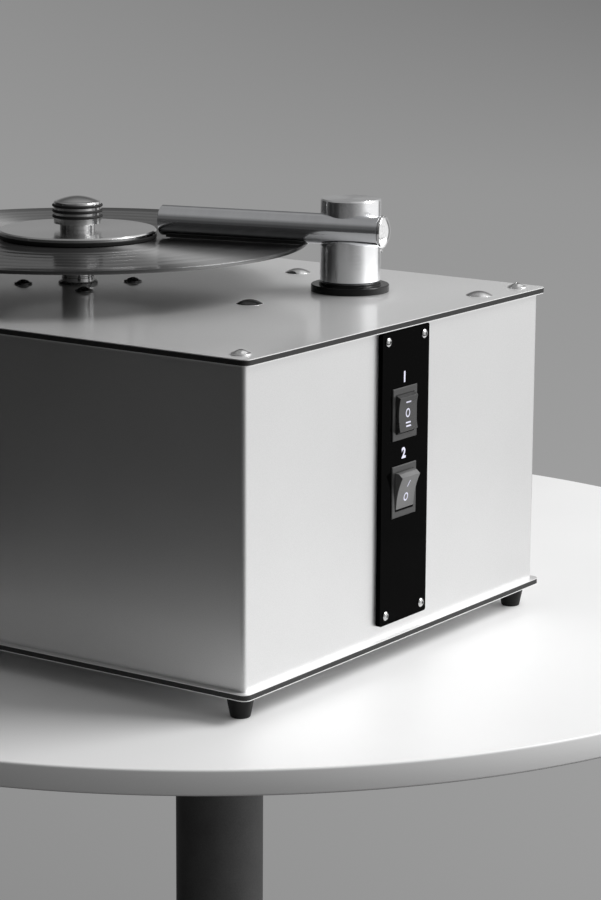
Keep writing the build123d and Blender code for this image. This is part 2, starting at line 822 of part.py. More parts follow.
def make_tank():
    tank = rod(post_x, post_y, tank_bottom, tank_radius, tank_height)
    tank += ears(tank_top - tank_flange, tank_flange)
    spigot_end = post_y - tank_radius - air_spigot_reach
    tank += lying_rod(post_x, spigot_end, air_spigot_z, air_spigot_radius, air_spigot_reach + 6)
    tank -= rod(post_x, post_y, tank_bottom + tank_wall, tank_radius - tank_wall, tank_height)
    tank -= lying_rod(post_x, spigot_end - 1, air_spigot_z, air_spigot_bore, 40)
    tank -= lying_rod(post_x, post_y, drain_z, drain_radius + 0.02, tank_radius + 10)
    save("waste_tank", tank)
    seal = pipe(
        post_x, post_y, tank_top,
        tank_flange_radius - 0.5, tank_radius - tank_wall, tank_seal,
    )
    for x, y in tank_bolts_at:
        seal -= rod(x, y, tank_top - 1, m8_radius + hole_gap, tank_seal + 2)
    save("tank_seal", seal)
    lid = ears(lid_bottom, lid_thickness)
    lid -= rod(post_x, post_y, lid_bottom - 1, swivel_radius + body_gap, lid_thickness + 2)
    save("tank_lid", lid)
    spacers = []
    screws = []
    nuts = []
    nut_bottom = tank_top - tank_flange - m8_nut_height
    for x, y in tank_bolts_at:
        spacers.append(pipe(x, y, lid_top, tank_spacer_radius, m8_radius + hole_gap, tank_spacer))
        screws.append(Pos(x, y, deck) * dome_screw(deck - nut_bottom + 1))
        hexagon = RegularPolygon(m8_nut_flats / 2, 6, major_radius=False)
        nut = Pos(x, y, nut_bottom) * extrude(hexagon, m8_nut_height)
        nuts.append(nut - rod(x, y, nut_bottom - 1, m8_radius + thread_gap, m8_nut_height + 2))
    save("tank_spacers", together(spacers))
    save("tank_screws", together(screws))
    save("tank_nuts", together(nuts))


def make_air_hose():
    """Hose from the tank's spigot to the top of the fan case."""
    start = post_y - tank_radius - 1
    end = fan_top + 1
    route = FilletPolyline(
        (vacuum_x, start, air_spigot_z),
        (vacuum_x, vacuum_y, air_spigot_z),
        (vacuum_x, vacuum_y, end),
        radius=hose_bend,
    )
    inner = air_spigot_radius + thread_gap
    outer = inner + hose_wall
    mouth = Plane(origin=(vacuum_x, start, air_spigot_z), z_dir=(0, -1, 0))
    hose = sweep(mouth * Circle(outer), route) - sweep(mouth * Circle(inner), route)
    save("air_hose", hose)
    section = math.pi * (outer**2 - inner**2)
    print("air hose: radius", hose_bend, "length", round(route.length, 1))
    print("air hose: volume / section x length", round(hose.volume / (section * route.length), 4))
    clip_outer = outer + 1.5
    first = lying_rod(vacuum_x, start - 12, air_spigot_z, clip_outer, 8)
    first -= lying_rod(vacuum_x, start - 13, air_spigot_z, outer + 0.02, 10)
    second = pipe(vacuum_x, vacuum_y, end + 2, clip_outer, outer + 0.02, 8)
    save("hose_clips", together([first, second]))


# ---------------------------------------------------------------- vacuum motor

def mount_screws_at():
    reach = vacuum_motor_radius + mount_flange_width / 2 + 1
    angles = (30, 150, 270)
    return [
        (
            vacuum_x + reach * math.cos(math.radians(a)),
            vacuum_y + reach * math.sin(math.radians(a)),
        )
        for a in angles
    ]


def make_vacuum_motor():
    """Motor with a foot flange on a soft pad; the fan case sits on top of it."""
    pad_top = base_top + mount_pad_height
    outer = vacuum_motor_radius + mount_flange_width
    pad = rod(vacuum_x, vacuum_y, base_top, outer, mount_pad_height)
    motor = rod(vacuum_x, vacuum_y, pad_top, vacuum_motor_radius, vacuum_motor_height)
    motor += rod(vacuum_x, vacuum_y, pad_top, outer, mount_flange)
    screws = []
    for x, y in mount_screws_at():
        pad -= rod(x, y, base_top - 1, m4_radius + hole_gap, mount_pad_height + 2)
        motor -= rod(x, y, pad_top - 1, m4_radius + hole_gap, mount_flange + 2)
        shank = mount_flange + mount_pad_height + plate_thickness - 0.5
        screws.append(Pos(x, y, pad_top + mount_flange) * pan_screw(m4_radius, m4_head, 2.4, shank))
    save("vacuum_mount_pad", pad)
    save("vacuum_mount_screws", together(screws))
    for i in range(motor_windows):
        turn = Rot(0, 0, i * 360 / motor_windows)
        window = Pos(vacuum_motor_radius, 0, pad_top + vacuum_motor_height * 0.6) * Box(6, 16, 18)
        motor -= Pos(vacuum_x, vacuum_y, 0) * turn * window
    save("vacuum_motor", motor)
    case = rod(vacuum_x, vacuum_y, fan_bottom, fan_case_radius, fan_case_height)
    case = fillet(case.edges().group_by(Axis.Z)[-1], 5)
    horn = Box(horn_length, horn_width, horn_height, align=(Align.MAX, Align.CENTER, Align.MIN))
    mouth = Box(horn_depth, horn_width - 4, horn_height - 4, align=(Align.MIN, Align.CENTER, Align.MIN))
    horn_y = vacuum_y - fan_case_radius + horn_width / 2 + 3
    horn_end = vacuum_x - horn_length
    case += Pos(vacuum_x, horn_y, fan_bottom + 4) * horn
    case -= Pos(horn_end, horn_y, fan_bottom + 6) * mouth
    case += rod(vacuum_x, vacuum_y, fan_top, air_spigot_radius, fan_spigot_height)
    case -= rod(vacuum_x, vacuum_y, fan_top - 12, air_spigot_bore, 80)
    save("fan_case", case)


# ---------------------------------------------------------------- switches

def make_switch_plate():
    middle = wall_x + switch_plate_thickness / 2
    outline = RectangleRounded(switch_plate_width, switch_plate_height, 1.5)
    plate = extrude(outline, switch_plate_thickness / 2, both=True)
    plate = Pos(middle, 0, switch_plate_middle) * Rot(0, 0, 90) * Rot(90, 0, 0) * plate
    for cutter in switch_cutters():
        plate -= cutter
    save("switch_plate", plate)
    shank = switch_plate_thickness + wall_thickness + 2
    screws = []
    for y, z in plate_screw_places():
        screws.append(Pos(switch_face, y, z) * Rot(0, 90, 0) * pan_screw(m3_radius, m3_head, 1.8, shank))
    save("switch_plate_screws", together(screws))


def switch_housing(z):
    body_middle = switch_face - switch_body_depth / 2
    body = Pos(body_middle, 0, z) * Box(switch_body_depth, switch_body_width, switch_body_height)
    bezel_middle = switch_face + switch_bezel_proud / 2
    bezel = Box(switch_bezel_proud, switch_bezel_width, switch_bezel_height)
    bezel = chamfer(bezel.faces().sort_by(Axis.X)[-1].edges(), switch_bezel_chamfer)
    body += Pos(bezel_middle, 0, z) * bezel
    well_width = rocker_width + 2 * rocker_gap
    well = 2 * (rocker_radius + rocker_gap)
    body -= Pos(bezel_face, 0, z) * Box(2 * (rocker_radius + 5), well_width, well)
    pins = Pos(rocker_pivot_x, 0, z) * Rot(90, 0, 0) * Cylinder(1.56, switch_body_width + 2)
    body -= pins & Pos(switch_face - 20, 0, z) * Box(60, switch_body_width - 0.4, 40)
    for side in (-1, 1):
        for step in (-1, 0, 1):
            blade = Box(blade_length, 4.8, 0.8)
            body += Pos(blade_tip + blade_length / 2, side * blade_offset, z + step * 8) * blade
    return body


def rocker(z, turn):
    """Rocker with sloping ends, round about its pivot behind them, and a hollow front face."""
    rise = rocker_rise
    upper = (rise, rocker_half)
    lower = (rise, -rocker_half)
    top = (0, rocker_radius)
    bottom = (0, -rocker_radius)
    half_back = (-rocker_back / 2, math.sqrt(rocker_radius**2 - rocker_back**2 / 4))
    back = (-rocker_back, math.sqrt(rocker_radius**2 - rocker_back**2))
    outline = Curve() + [
        ThreePointArc(upper, (rise - rocker_hollow, 0), lower),
        Line(lower, bottom),
        ThreePointArc(bottom, (half_back[0], -half_back[1]), (back[0], -back[1])),
        Line((back[0], -back[1]), back),
        ThreePointArc(back, half_back, top),
        Line(top, upper),
    ]
    body = extrude(make_face(Plane.XZ * outline), rocker_width / 2, both=True)
    body += Rot(90, 0, 0) * Cylinder(1.5, rocker_width + 1.0)
    body -= Pos(-4, 0, 0) * Box(4, rocker_width - 3, 1.2 * rocker_radius)
    return Pos(rocker_pivot_x, switch_y, z) * Rot(0, turn, 0) * body


def make_switches():
    housings = [Pos(0, y, 0) * switch_housing(z) for y, z in switch_places()]
    save("switch_housings", together(housings))
    save("motor_rocker", rocker(motor_switch_z, 0))
    save("vacuum_rocker", rocker(vacuum_switch_z, rocker_tilt))


# ---------------------------------------------------------------- rear fittings

def make_power_inlet():
    """Three-pin mains inlet: flange outside the rear panel, body and tabs inside."""
    behind = (Align.CENTER, Align.MAX, Align.CENTER)
    outline = RectangleRounded(inlet_flange_length, inlet_flange_height, 3)
    inlet = Rot(-90, 0, 0) * extrude(outline, inlet_flange)
    inlet += Box(inlet_body_length, inlet_body_depth, inlet_body_height, align=behind)
    mouth = Box(inlet_recess_length, inlet_recess, inlet_recess_height, align=behind)
    inlet -= Pos(0, inlet_flange, 0) * mouth
    for x, z in ((-7, -1.5), (0, 2.5), (7, -1.5)):
        blade = Box(2, 10, 4, align=(Align.CENTER, Align.MIN, Align.CENTER))
        inlet += Pos(x, inlet_flange - inlet_recess, z) * blade
        tab = Box(5, inlet_tab, 0.8, align=behind)
        inlet += Pos(x, -inlet_body_depth, z) * tab
    for side in (-1, 1):
        inlet -= lying_rod(side * inlet_screw_spacing / 2, -1, 0, m3_radius + hole_gap, 6)
    save("power_inlet", Pos(inlet_x, rear_face, inlet_z) * inlet)


def make_exhaust_grille():
    grille = lying_rod(grille_x, rear_face, grille_z, grille_radius, grille_thickness)
    for i in range(grille_slots):
        offset = (i - (grille_slots - 1) / 2) * grille_slot_pitch
        length = 2 * math.sqrt((grille_hole_radius - 2) ** 2 - offset**2)
        slot = Box(length, 3 * grille_thickness, grille_slot_width)
        grille -= Pos(grille_x, rear_face + 1, grille_z + offset) * slot
    for x, z in trim_screws_at()[2:]:
        grille -= lying_rod(x, rear_face - 1, z, m3_radius + hole_gap, 5)
    save("exhaust_grille", grille)


def make_drain():
    tank_back = post_y + tank_radius
    start = tank_back - tank_wall - 1
    end = rear_face + drain_reach
    spigot = lying_rod(post_x, start, drain_z, drain_radius, end - start)
    flange_gap = inner_y - tank_back
    spigot += lying_rod(post_x, tank_back + 1, drain_z, drain_collar_radius, flange_gap - 1)
    nut = Rot(-90, 0, 0) * extrude(RegularPolygon(drain_collar_radius, 6, major_radius=False), 5)
    spigot += Pos(post_x, rear_face, drain_z) * nut
    spigot -= lying_rod(post_x, start - 1, drain_z, drain_bore, end - start + 2)
    save("drain_spigot", spigot)
    mouth = end + drain_cap_end - drain_cap_length
    cap = lying_rod(post_x, mouth, drain_z, drain_cap_radius, drain_cap_length)
    bore_depth = drain_cap_length - drain_cap_end + 0.3
    cap -= lying_rod(post_x, mouth - 1, drain_z, drain_radius + drain_cap_gap, bore_depth + 1)
    for i in range(drain_cap_grips):
        groove = Pos(drain_cap_radius + 0.4, 0, drain_cap_length - 5) * Cylinder(1.0, 14)
        groove = Rot(0, 0, i * 360 / drain_cap_grips) * groove
        cap -= Pos(post_x, mouth, drain_z) * Rot(-90, 0, 0) * groove
    save("drain_cap", cap)


# ---------------------------------------------------------------- electrical pieces

def make_board():
    """Control board on four stand-offs, with terminal strips at two edges and its larger parts."""
    z = base_top + board_post_height
    top = z + board_thickness
    board = block(board_x, board_y, z, board_length, board_width, board_thickness)
    for sx in (-1, 1):
        for sy in (-1, 1):
            x = board_x + sx * (board_length / 2 - 6)
            y = board_y + sy * (board_width / 2 - 6)
            board += rod(x, y, base_top, 3.5, board_post_height)
    right_strip = board_x + (board_length - terminal_width) / 2
    rear_strip = board_y + (board_width - terminal_width) / 2
    board += block(right_strip, board_y, top, terminal_width, 50, terminal_height)
    board += block(board_x, rear_strip, top, 30, terminal_width, terminal_height)
    board += block(board_x + 2, board_y - 16, top, 28, 13, 16)
    board += rod(board_x - 30, board_y - 8, top, 15, 30)
    save("control_board", board)


def lead(name, points, largest=100.0):
    """Round lead along straight runs joined by arcs as large as the runs and the case allow."""
    places = [Vector(*point) for point in points]
    runs = [after - before for before, after in zip(places, places[1:])]
    radii = []
    for before, after in zip(runs, runs[1:]):
        turn = math.radians(before.get_angle(after))
        shorter = min(before.length, after.length)
        radii.append(min(0.45 * shorter / math.tan(turn / 2), largest))
    route = FilletPolyline(*points, radius=radii)
    solid = sweep(Plane(origin=places[0], z_dir=runs[0]) * Circle(lead_radius), route)
    ratio = solid.volume / (math.pi * lead_radius**2 * route.length)
    print(name, "radii", [round(radius, 1) for radius in radii], "volume ratio", round(ratio, 4))
    return solid


def make_wiring():
    floor = base_top + lead_radius + 0.1
    strip = base_top + board_post_height + board_thickness + terminal_height / 2
    board_right = board_x + board_length / 2 + 0.1
    board_back = board_y + board_width / 2 + 0.1
    inlet_tabs = rear_face - inlet_body_depth - inlet_tab - 0.1
    supply = lead("supply lead", [
        (inlet_x, inlet_tabs, inlet_z + 2.5),
        (inlet_x, inlet_tabs - 30, inlet_z - 2),
        (inlet_x + 6, inlet_tabs - 60, floor),
        (board_x + 3, board_back + 50, floor),
        (board_x, board_back + 24, strip),
        (board_x, board_back, strip),
    ])
    switch_leads = []
    for z, side, name in (
        (motor_switch_z, 1, "motor switch lead"),
        (vacuum_switch_z, -1, "vacuum switch lead"),
    ):
        y = switch_y + side * blade_offset
        switch_leads.append(lead(name, [
            (board_right, board_y - 8 + 4 * side, strip),
            (board_right + 24, board_y - 8 + 4 * side, strip),
            (board_right + 60 - 6 * side, board_y + 40, floor),
            (board_right + 90, y, floor),
            (lead_rise_x, y, floor),
            (lead_rise_x, y, z),
            (blade_tip - 0.1, y, z),
        ], lead_bend))
    terminal_box = gearbox_top - gearbox_height - motor_length + terminal_box_rise
    motor_lead = lead("platter motor lead", [
        (board_right, board_y + 18, strip),
        (board_right + 26, board_y + 18, strip),
        (spindle_x, spindle_y - motor_radius - 5, strip + 26),
        (spindle_x, spindle_y - motor_radius - 5, terminal_box - 0.1),
    ])
    save("wiring", together([supply, *switch_leads, motor_lead]))


# ---------------------------------------------------------------- build

make_plates()
make_case_wrap()
make_rear_panel()
make_corner_bars()
make_case_screws()
make_feet()
make_gear_motor()
make_spindle()
make_record()
make_clamp()
make_arm_mount()
make_arm_post()
make_arm_tube()
make_tank()
make_air_hose()
make_vacuum_motor()
make_switch_plate()
make_switches()
make_power_inlet()
make_exhaust_grille()
make_drain()
make_board()
make_wiring()
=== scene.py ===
import bmesh
import bpy
import math
from mathutils import Matrix, Vector


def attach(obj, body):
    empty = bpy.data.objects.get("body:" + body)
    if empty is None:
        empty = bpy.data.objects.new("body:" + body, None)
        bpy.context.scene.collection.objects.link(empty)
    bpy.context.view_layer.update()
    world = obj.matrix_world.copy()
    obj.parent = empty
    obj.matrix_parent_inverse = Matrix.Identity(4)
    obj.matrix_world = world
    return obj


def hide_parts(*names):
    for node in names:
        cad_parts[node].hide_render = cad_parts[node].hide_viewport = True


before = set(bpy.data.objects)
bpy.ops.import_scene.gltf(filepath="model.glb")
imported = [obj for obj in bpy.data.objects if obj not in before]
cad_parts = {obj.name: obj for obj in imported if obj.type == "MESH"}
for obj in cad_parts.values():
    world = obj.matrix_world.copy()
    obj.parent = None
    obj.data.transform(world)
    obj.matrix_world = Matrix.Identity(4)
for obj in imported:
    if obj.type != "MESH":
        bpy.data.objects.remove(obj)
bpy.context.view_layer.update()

# Record cleaning machine. Sizes and places are in millimetres, measured from the middle of the
# plates with the feet on Z = 0; place() turns them into metres from the machine's own origin.

mm = 0.001
PLATES_MIDDLE = Vector((-2.53, -11.0, 0.0))

SPINDLE = (-48.7, -2.5)
POST = (112.0, 77.0)
POST_RADIUS = 19.5
DECK = 213.5
RECORD_TOP = 243.6
ARM_TURN = math.radians(14.5)
TUBE_SIDE = -13.3
TUBE_HEIGHT = 254.6
TUBE_RADIUS = 9.9
CORNERS = [(sx * 192.0, sy * 153.0) for sx in (-1, 1) for sy in (-1, 1)]
MOTOR_SCREWS = [(SPINDLE[0] + sx * 25.4, SPINDLE[1] + sy * 25.4) for sx in (-1, 1) for sy in (-1, 1)]
SWITCH_FACE = 205.0
SWITCH_SIDE = -1.5
ROCKER_PIVOT = 205.8
MOTOR_SWITCH = 156.9
VACUUM_SWITCH = 108.7


def place(x, y, z):
    return (Vector((x, y, z)) + PLATES_MIDDLE) * mm


# ---------------------------------------------------------------- shaping with Blender's tools

def leave_edit_mode():
    if bpy.context.object and bpy.context.object.mode == "EDIT":
        bpy.ops.object.mode_set(mode="OBJECT")


def choose(piece):
    """Leaves edit mode and makes the piece the only one selected."""
    leave_edit_mode()
    bpy.ops.object.select_all(action="DESELECT")
    piece.select_set(True)
    bpy.context.view_layer.objects.active = piece


def start(name, primitive, spot, **sizes):
    """A new primitive at its spot, named and in edit mode with all of it selected."""
    leave_edit_mode()
    bpy.ops.object.select_all(action="DESELECT")
    getattr(bpy.ops.mesh, f"primitive_{primitive}_add")(location=spot, **sizes)
    piece = bpy.context.object
    piece.name = name
    piece.data.name = name
    bpy.ops.object.transform_apply(location=True, rotation=True, scale=True)
    bpy.ops.object.mode_set(mode="EDIT")
    bpy.ops.mesh.select_all(action="SELECT")
    return piece


def block(name, spot, size):
    """A box of that size about its middle, in edit mode."""
    piece = start(name, "cube", spot, size=1.0, scale=Vector(size) * mm)
    return piece


def pick(piece, test, kind="faces"):
    """Selects the faces, or edges, whose middle and normal pass the test."""
    bpy.ops.mesh.select_mode(type="FACE" if kind == "faces" else "EDGE")
    bpy.ops.mesh.select_all(action="DESELECT")
    shape = bmesh.from_edit_mesh(piece.data)
    shape.normal_update()
    if kind == "faces":
        for face in shape.faces:
            if test(face.calc_center_median(), face.normal):
                face.select_set(True)
    else:
        for edge in shape.edges:
            ends = [corner.co for corner in edge.verts]
            if test((ends[0] + ends[1]) / 2, (ends[1] - ends[0]).normalized()):
                edge.select_set(True)
    bmesh.update_edit_mesh(piece.data)


def turned(name, outline, x=0.0, y=0.0, sides=128):
    """Piece turned about the upright line at x, y; the outline holds (radius, height)."""
    radius, height = outline[0]
    piece = start(name, "plane", place(x + radius, y, height), size=mm)
    bpy.ops.mesh.merge(type="CENTER")
    for (near, low), (far, high) in zip(outline, outline[1:]):
        step = ((far - near) * mm, 0.0, (high - low) * mm)
        bpy.ops.mesh.extrude_vertices_move(TRANSFORM_OT_translate={"value": step})
    bpy.ops.mesh.select_all(action="SELECT")
    bpy.ops.mesh.spin(steps=sides, angle=2 * math.pi, center=place(x, y, 0), axis=(0, 0, 1))
    bpy.ops.mesh.select_all(action="SELECT")
    bpy.ops.mesh.remove_doubles(threshold=0.002 * mm)
    bpy.ops.mesh.normals_make_consistent(inside=False)
    return piece


def arc(middle, radius, first, last, steps):
    """Points of a round run in an outline, from the first angle to the last, in degrees."""
    points = []
    for i in range(steps + 1):
        turn = math.radians(first + (last - first) * i / steps)
        points.append((middle[0] + radius * math.cos(turn), middle[1] + radius * math.sin(turn)))
    return points


def crown(radius, low, rise, steps=10, power=2.0):
    """Outline of a low dome from its edge to the middle."""
    points = []
    for i in range(steps + 1):
        out = 1 - i / steps
        points.append((radius * out, low + rise * (1 - out**power)))
    return points


def apply(piece, kind, **settings):
    """Adds one modifier and applies it."""
    choose(piece)
    modifier = piece.modifiers.new(kind.title(), kind)
    for setting, value in settings.items():
        setattr(modifier, setting, value)
    bpy.ops.object.modifier_apply(modifier=modifier.name)


def cut(piece, tool):
    """Takes the tool's shape away from the piece and throws the tool away."""
    apply(piece, "BOOLEAN", operation="DIFFERENCE", solver="EXACT", object=tool)
    bpy.data.objects.remove(tool)


def lay(piece, turn):
    """Moves the finished mesh by a turn matrix, with the object itself left at the origin."""
    choose(piece)
    piece.matrix_world = turn
    bpy.ops.object.transform_apply(location=True, rotation=True, scale=True)
    return piece


def soften(piece, width, segments=2, angle=30.0):
    """Smooth shading with a small rounded edge wherever faces meet at more than the angle."""
    choose(piece)
    bpy.ops.object.shade_smooth()
    apply(piece, "BEVEL", width=width * mm, segments=segments, limit_method="ANGLE",
          angle_limit=math.radians(angle), harden_normals=True)


def repeat(piece, turns):
    """The piece once at each turn matrix, joined into one piece with the same name."""
    leave_edit_mode()
    name = piece.name
    copies = []
    for turn in turns:
        copy = piece.copy()
        copy.data = piece.data.copy()
        bpy.context.collection.objects.link(copy)
        copies.append(lay(copy, turn))
    bpy.data.objects.remove(piece)
    joined = join(copies)
    joined.name = name
    joined.data.name = name
    return joined


def join(pieces):
    """Joins the pieces into the first of them."""
    choose(pieces[0])
    for piece in pieces:
        piece.select_set(True)
    if len(pieces) > 1:
        bpy.ops.object.join()
    return pieces[0]


def fit(piece, finish, body, node=None):
    """Gives the finished piece its material and the body it rides on, and hides the node it stands for."""
    leave_edit_mode()
    piece.data.materials.clear()
    piece.data.materials.append(finish)
    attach(piece, body)
    if node:
        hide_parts(node)
    return piece


def along_arm(start_at):
    """Turn matrix that lays an upright piece along the suction tube, its foot at start_at."""
    post = Matrix.Translation(place(*POST, 0)) @ Matrix.Rotation(ARM_TURN, 4, "Z")
    spot = Matrix.Translation(Vector((start_at, TUBE_SIDE, TUBE_HEIGHT)) * mm)
    return post @ spot @ Matrix.Rotation(math.pi / 2, 4, "Y") @ Matrix.Translation(-place(0, 0, 0))


def facing(spot, direction):
    """Turn matrix that stands an upright piece on the spot, pointing in the direction."""
    turn = Vector(direction).to_track_quat("Z", "Y").to_matrix().to_4x4()
    return Matrix.Translation(spot) @ turn @ Matrix.Translation(-place(0, 0, 0))


# ---------------------------------------------------------------- materials

class Wire:
    """One output of a material's node. Sums and products of wires add Math nodes."""

    def __init__(self, finish, socket):
        self.finish = finish
        self.socket = socket

    def math(self, operation, first, second=0.0):
        return self.finish.add("ShaderNodeMath", {"operation": operation}, {0: first, 1: second})

    def __add__(self, other):
        return self.math("ADD", self, other)

    def __radd__(self, other):
        return self.math("ADD", other, self)

    def __sub__(self, other):
        return self.math("SUBTRACT", self, other)

    def __rsub__(self, other):
        return self.math("SUBTRACT", other, self)

    def __mul__(self, other):
        return self.math("MULTIPLY", self, other)

    def __rmul__(self, other):
        return self.math("MULTIPLY", other, self)

    def __gt__(self, other):
        return self.math("GREATER_THAN", self, other)

    def __lt__(self, other):
        return self.math("LESS_THAN", self, other)

    def __abs__(self):
        return self.math("ABSOLUTE", self)


class Finish:
    """A node tree, of a material or of the surroundings."""

    def __init__(self, owner):
        owner.use_nodes = True
        self.owner = owner
        self.tree = owner.node_tree

    def add(self, kind, settings, inputs, output=0):
        """Any node: its settings are set first, then its sockets get values or wires."""
        node = self.tree.nodes.new(kind)
        for setting, value in settings.items():
            if setting == "stops":
                ramp = node.color_ramp.elements
                while len(ramp) < len(value):
                    ramp.new(0.5)
                for stop, (where, level) in zip(ramp, value):
                    stop.position = where
                    stop.color = (*grey(level), 1.0)
            else:
                setattr(node, setting, value)
        for socket, value in inputs.items():
            self.join(node.inputs[socket], value)
        return Wire(self, node.outputs[output])

    def join(self, socket, value):
        if isinstance(value, Wire):
            self.tree.links.new(value.socket, socket)
        else:
            socket.default_value = value

    def noise(self, scale, detail=2.0, stretch=(1.0, 1.0, 1.0), middle=(0.0, 0.0, 0.0), turn=0.0):
        """Cloudy pattern from 0 to 1, fixed to the piece; scale is in spots per metre."""
        spot = self.add("ShaderNodeTexCoord", {}, {}, "Object")
        if turn:
            spot = self.add("ShaderNodeMapping", {}, {"Vector": spot, "Rotation": (0.0, 0.0, turn)})
        spot = self.add("ShaderNodeMapping", {}, {"Vector": spot, "Scale": stretch, "Location": middle})
        return self.add("ShaderNodeTexNoise", {}, {"Vector": spot, "Scale": scale, "Detail": detail})

    def axes(self):
        """The three Object coordinates, in metres."""
        spot = self.add("ShaderNodeTexCoord", {}, {}, "Object")
        split = self.add("ShaderNodeSeparateXYZ", {}, {"Vector": spot}).socket.node
        return [Wire(self, split.outputs[i]) for i in range(3)]

    def from_axis(self, x, y):
        """Distance from the upright line at x, y, in metres."""
        across, along, _ = self.axes()
        across, along = across - x, along - y
        return (across * across + along * along).math("SQRT", across * across + along * along)

    def blend(self, share, first, second):
        """Colour between two colours."""
        return self.add("ShaderNodeMix", {"data_type": "RGBA"}, {0: share, 6: (*first, 1.0), 7: (*second, 1.0)}, 2)

    def ramp(self, value, stops):
        """Grey level read off a ramp of (where, level) stops."""
        return self.add("ShaderNodeValToRGB", {"stops": stops}, {"Fac": value})


def grey(level):
    return (level, level, level) if isinstance(level, (int, float)) else tuple(level)


def material(name, colour, roughness, metallic=0.0, **plain):
    """A material that starts from plain values; shade() then varies them over the surface."""
    made = Finish(bpy.data.materials.new(name))
    shader = made.tree.nodes["Principled BSDF"]
    made.shader = shader
    shader.inputs["Base Color"].default_value = (*grey(colour), 1.0)
    shader.inputs["Roughness"].default_value = roughness
    shader.inputs["Metallic"].default_value = metallic
    for socket, value in plain.items():
        shader.inputs[socket.replace("_", " ")].default_value = value
    return made


def shade(made, colour=None, roughness=None, height=None, depth=0.02, sharpness=0.5):
    """Joins the varying colour, roughness and surface height to the material's shader."""
    if colour is not None:
        made.join(made.shader.inputs["Base Color"], colour)
    if roughness is not None:
        made.join(made.shader.inputs["Roughness"], roughness)
    if height is not None:
        bump = made.add("ShaderNodeBump", {}, {"Height": height, "Strength": sharpness, "Distance": depth * mm})
        made.join(made.shader.inputs["Normal"], bump)
    return made.owner


def satin_sheet(name, dark, light, roughness, coat, grain_scale=1500.0):
    """Bead-blasted and anodised aluminium sheet with a fine grain and faint clouds."""
    made = material(name, light, roughness, 1.0, Coat_Weight=coat, Coat_Roughness=0.13)
    grain = made.noise(grain_scale, 1.0)
    cloud = made.noise(9.0, 3.0, middle=(3.0, 1.0, 2.0))
    rough = roughness + 0.10 * (grain - 0.5) + 0.05 * (cloud - 0.5)
    tone = made.ramp(0.6 * grain + 0.4 * cloud, [(0.3, dark), (0.7, light)])
    return shade(made, tone, rough, grain, 0.012, 0.35)


def turned_metal(name, colour, roughness, stretch, anisotropy=0.7, rotation=0.25, turn=0.0):
    """Metal off the lathe, with fine rings that show as stretched highlights."""
    made = material(name, colour, roughness, 1.0, Anisotropic=anisotropy, Anisotropic_Rotation=rotation)
    lines = made.noise(1.0, 2.0, stretch, turn=turn)
    cloud = made.noise(60.0, 2.0)
    tone = made.ramp(0.5 * lines + 0.5 * cloud, [(0.3, [c * 0.90 for c in grey(colour)]), (0.7, grey(colour))])
    return shade(made, tone, roughness + 0.08 * (lines - 0.5), lines, 0.004, 0.3)


def plain_metal(name, colour, roughness, scale=300.0):
    made = material(name, colour, roughness, 1.0)
    marks = made.noise(scale, 3.0)
    tone = made.ramp(marks, [(0.3, [c * 0.82 for c in grey(colour)]), (0.7, grey(colour))])
    return shade(made, tone, roughness + 0.15 * (marks - 0.5), marks, 0.01, 0.3)


def moulded(name, colour, roughness, grain=900.0, depth=0.02, **plain):
    """Moulded plastic or rubber with a fine leathery grain and faint rub marks."""
    made = material(name, colour, roughness, **plain)
    fine = made.noise(grain, 2.0)
    rub = made.noise(45.0, 4.0, middle=(5.0, 2.0, 1.0))
    tone = made.ramp(0.4 * fine + 0.6 * rub, [(0.3, [c * 0.75 for c in grey(colour)]), (0.75, [c * 1.25 for c in grey(colour)])])
    return shade(made, tone, roughness + 0.2 * (rub - 0.5), fine, depth, 0.5)


plate_skin = satin_sheet("satin_plate_skin", 0.80, 0.88, 0.62, 1.0)
wall_metal = satin_sheet("satin_wall_metal", 0.66, 0.74, 0.42, 0.5)
bar_metal = plain_metal("drawn_bar_metal", 0.62, 0.35)
plate_core = moulded("black_plate_core", 0.012, 0.55, 1800.0)
bright_screw = plain_metal("polished_screw", 0.88, 0.07, 700.0)
small_screw = plain_metal("plain_screw", 0.62, 0.22, 900.0)
dark_screw = plain_metal("dark_screw", 0.16, 0.28, 900.0)
rubber_black = moulded("black_rubber", 0.008, 0.55, IOR=1.3)
gear_case = plain_metal("cast_gear_case", 0.55, 0.5, 500.0)
motor_paint = moulded("motor_paint", 0.05, 0.4)
steel = plain_metal("ground_steel", 0.6, 0.25, 400.0)
lathe_metal = turned_metal("lathe_metal", 0.64, 0.08, (40.0, 40.0, 2500.0), 0.2)
post_metal = turned_metal("polished_post_metal", (0.90, 0.905, 0.915), 0.22, (60.0, 60.0, 2500.0), 0.5)
tube_metal = turned_metal("brushed_tube_metal", (0.84, 0.85, 0.87), 0.13, (160.0, 6.0, 6.0), 0.3, 0.0, -ARM_TURN)
clamp_metal = turned_metal("clamp_metal", 0.64, 0.14, (900.0, 900.0, 40.0), 0.6)
bronze = plain_metal("bearing_bronze", (0.60, 0.42, 0.20), 0.35)
ring_black = moulded("satin_ring_black", 0.004, 0.20, 700.0, 0.006, IOR=1.3)
tank_plastic = moulded("milky_tank_plastic", (0.78, 0.79, 0.78), 0.4, 500.0)
vacuum_metal = plain_metal("cast_motor_metal", 0.5, 0.45, 500.0)
fan_plastic = moulded("fan_plastic", 0.05, 0.45)
switch_black = moulded("switch_black", 0.028, 0.30, 1400.0, 0.012)
# Copy of the black switch plastic, painted lighter: painted light for the brighter light that the tilted vacuum
# rocker's face catches
switch_black_painted_lighter = moulded("switch_black_painted_lighter", 0.11, 0.30, 1400.0, 0.012)
grille_black = moulded("grille_black", 0.025, 0.35)
board_green = moulded("board_green", (0.02, 0.16, 0.07), 0.35)
wire_black = moulded("wire_black", 0.025, 0.45)
print_white = moulded("printed_marks", (0.72, 0.72, 0.86), 0.5, 1500.0, 0.005)


